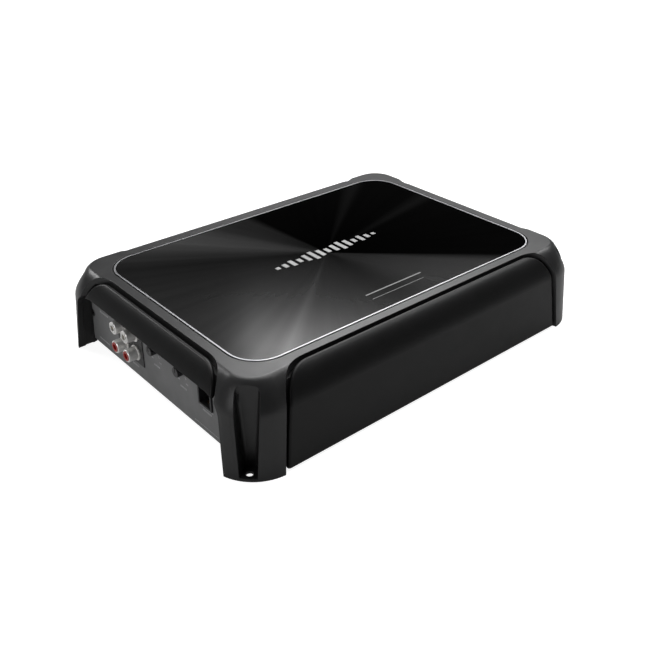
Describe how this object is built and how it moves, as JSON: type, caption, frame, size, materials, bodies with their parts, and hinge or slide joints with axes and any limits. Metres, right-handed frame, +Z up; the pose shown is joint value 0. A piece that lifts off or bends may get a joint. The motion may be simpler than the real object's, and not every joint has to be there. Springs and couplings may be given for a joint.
{
  "type": "car audio amplifier",
  "caption": "Low rectangular car amplifier: corner posts with screw feet, glossy top panel, hooded end bays with phono jacks, rotary controls, fuses and cage-clamp terminals.",
  "frame": {"origin": "centre of the footprint, on the surface the posts stand on", "axes": "+X towards the power end, -X is the input end, Y across the body, +Z up out of the top panel"},
  "size_m": [0.2884, 0.2098, 0.056],
  "materials": {
    "black_moulding": "satin textured moulding",
    "gloss_panel": "high gloss",
    "bright_trim": "bright",
    "satin_cover": "satin",
    "heatsink_aluminium": "black anodised",
    "plated_steel": "satin black",
    "grey_plate": "satin grey",
    "connector_black": "satin",
    "nickel": "nickel plated",
    "red_plastic": "satin",
    "white_plastic": "satin",
    "brass_contact": "plated",
    "knob_black": "satin",
    "circuit_board": "solder mask",
    "terminal_metal": "nickel plated",
    "copper": "enamelled copper",
    "fuse_amber": "translucent",
    "fuse_blade": "tinned",
    "led_blue": "clear tinted",
    "brass_standoff": "machined",
    "ferrite": "matt",
    "capacitor_sleeve": "heat-shrink sleeve",
    "epoxy_black": "moulded epoxy",
    "clamp_steel": "zinc plated",
    "pad_grey": "silicone",
    "screw_black": "black plated",
    "screw_zinc": "zinc plated"
  },
  "bodies": {
    "amplifier": {"board_screws": "screw_zinc", "board_standoffs": "brass_standoff", "bottom_cover": "plated_steel", "bottom_cover_screws": "screw_black", "end_plate_input": "grey_plate", "end_plate_output": "grey_plate", "end_plate_screws": "screw_black", "fuse_holder": "connector_black", "gain_pot_body": "connector_black", "heatsink": "heatsink_aluminium", "hood_input": "satin_cover", "hood_output": "satin_cover", "led_lens": "led_blue", "lowpass_pot_body": "connector_black", "main_board": "circuit_board", "output_choke_core": "ferrite", "output_choke_winding": "copper", "phase_switch_body": "nickel", "power_terminal_bars": "copper", "power_terminal_housing": "connector_black", "preamp_board": "circuit_board", "rca_contacts": "brass_contact", "rca_housing": "connector_black", "rca_insulators_red": "red_plastic", "rca_insulators_white": "white_plastic", "rca_shells": "nickel", "remote_socket": "connector_black", "remote_socket_contacts": "brass_contact", "side_cover_front": "satin_cover", "side_cover_rear": "satin_cover", "speaker_terminal_bars": "copper", "speaker_terminal_housing": "connector_black", "supply_capacitors": "capacitor_sleeve", "supply_transformer_core": "ferrite", "supply_transformer_winding": "copper", "thermal_pads": "pad_grey", "top_frame": "black_moulding", "top_panel": "gloss_panel", "transistor_clamp_bars": "clamp_steel", "transistor_clamp_screws": "screw_zinc", "transistors": "epoxy_black", "trim_ring": "bright_trim"},
    "gain_knob": {"gain_knob": "knob_black"},
    "lowpass_knob": {"lowpass_knob": "knob_black"},
    "phase_switch": {"phase_switch_slider": "knob_black"},
    "fuse_1": {"fuse_body_1": "fuse_amber", "fuse_blades_1": "fuse_blade"},
    "fuse_2": {"fuse_body_2": "fuse_amber", "fuse_blades_2": "fuse_blade"},
    "power_screw_1": {"power_terminal_screw_1": "terminal_metal"},
    "power_cage_1": {"power_terminal_cage_1": "terminal_metal"},
    "power_screw_2": {"power_terminal_screw_2": "terminal_metal"},
    "power_cage_2": {"power_terminal_cage_2": "terminal_metal"},
    "power_screw_3": {"power_terminal_screw_3": "terminal_metal"},
    "power_cage_3": {"power_terminal_cage_3": "terminal_metal"},
    "speaker_screw_1": {"speaker_terminal_screw_1": "terminal_metal"},
    "speaker_cage_1": {"speaker_terminal_cage_1": "terminal_metal"},
    "speaker_screw_2": {"speaker_terminal_screw_2": "terminal_metal"},
    "speaker_cage_2": {"speaker_terminal_cage_2": "terminal_metal"}
  },
  "joints": [
    {"name": "gain_turn", "type": "hinge", "parent": "amplifier", "child": "gain_knob", "pos_m": [-0.135, 0.0005, 0.0345], "axis": [-1, 0, 0], "range_deg": [-150, 150]},
    {"name": "lowpass_turn", "type": "hinge", "parent": "amplifier", "child": "lowpass_knob", "pos_m": [-0.135, -0.0285, 0.0345], "axis": [-1, 0, 0], "range_deg": [-150, 150]},
    {"name": "phase_slide", "type": "slide", "parent": "amplifier", "child": "phase_switch", "axis": [0, 1, 0], "range_m": [0, 0.002]},
    {"name": "fuse_1_pull", "type": "slide", "parent": "amplifier", "child": "fuse_1", "axis": [1, 0, 0], "range_m": [0, 0.01]},
    {"name": "fuse_2_pull", "type": "slide", "parent": "amplifier", "child": "fuse_2", "axis": [1, 0, 0], "range_m": [0, 0.01]},
    {"name": "power_screw_1_turn", "type": "hinge", "parent": "amplifier", "child": "power_screw_1", "pos_m": [0.134, -0.068, 0.025], "axis": [0, 0, -1], "range_deg": [0, 2251]},
    {"name": "power_cage_1_lift", "type": "slide", "parent": "amplifier", "child": "power_cage_1", "axis": [0, 0, 1], "range_m": [0, 0.005]},
    {"name": "power_screw_2_turn", "type": "hinge", "parent": "amplifier", "child": "power_screw_2", "pos_m": [0.134, -0.052, 0.025], "axis": [0, 0, -1], "range_deg": [0, 2251]},
    {"name": "power_cage_2_lift", "type": "slide", "parent": "amplifier", "child": "power_cage_2", "axis": [0, 0, 1], "range_m": [0, 0.005]},
    {"name": "power_screw_3_turn", "type": "hinge", "parent": "amplifier", "child": "power_screw_3", "pos_m": [0.134, -0.036, 0.025], "axis": [0, 0, -1], "range_deg": [0, 2251]},
    {"name": "power_cage_3_lift", "type": "slide", "parent": "amplifier", "child": "power_cage_3", "axis": [0, 0, 1], "range_m": [0, 0.005]},
    {"name": "speaker_screw_1_turn", "type": "hinge", "parent": "amplifier", "child": "speaker_screw_1", "pos_m": [0.134, 0.018, 0.025], "axis": [0, 0, -1], "range_deg": [0, 2101]},
    {"name": "speaker_cage_1_lift", "type": "slide", "parent": "amplifier", "child": "speaker_cage_1", "axis": [0, 0, 1], "range_m": [0, 0.0035]},
    {"name": "speaker_screw_2_turn", "type": "hinge", "parent": "amplifier", "child": "speaker_screw_2", "pos_m": [0.134, 0.031, 0.025], "axis": [0, 0, -1], "range_deg": [0, 2101]},
    {"name": "speaker_cage_2_lift", "type": "slide", "parent": "amplifier", "child": "speaker_cage_2", "axis": [0, 0, 1], "range_m": [0, 0.0035]}
  ],
  "couplings": [
    {"joint": "power_screw_1_turn", "follows": "power_cage_1_lift", "rad_per_m": 7854},
    {"joint": "power_screw_2_turn", "follows": "power_cage_2_lift", "rad_per_m": 7854},
    {"joint": "power_screw_3_turn", "follows": "power_cage_3_lift", "rad_per_m": 7854},
    {"joint": "speaker_screw_1_turn", "follows": "speaker_cage_1_lift", "rad_per_m": 10472},
    {"joint": "speaker_screw_2_turn", "follows": "speaker_cage_2_lift", "rad_per_m": 10472}
  ]
}
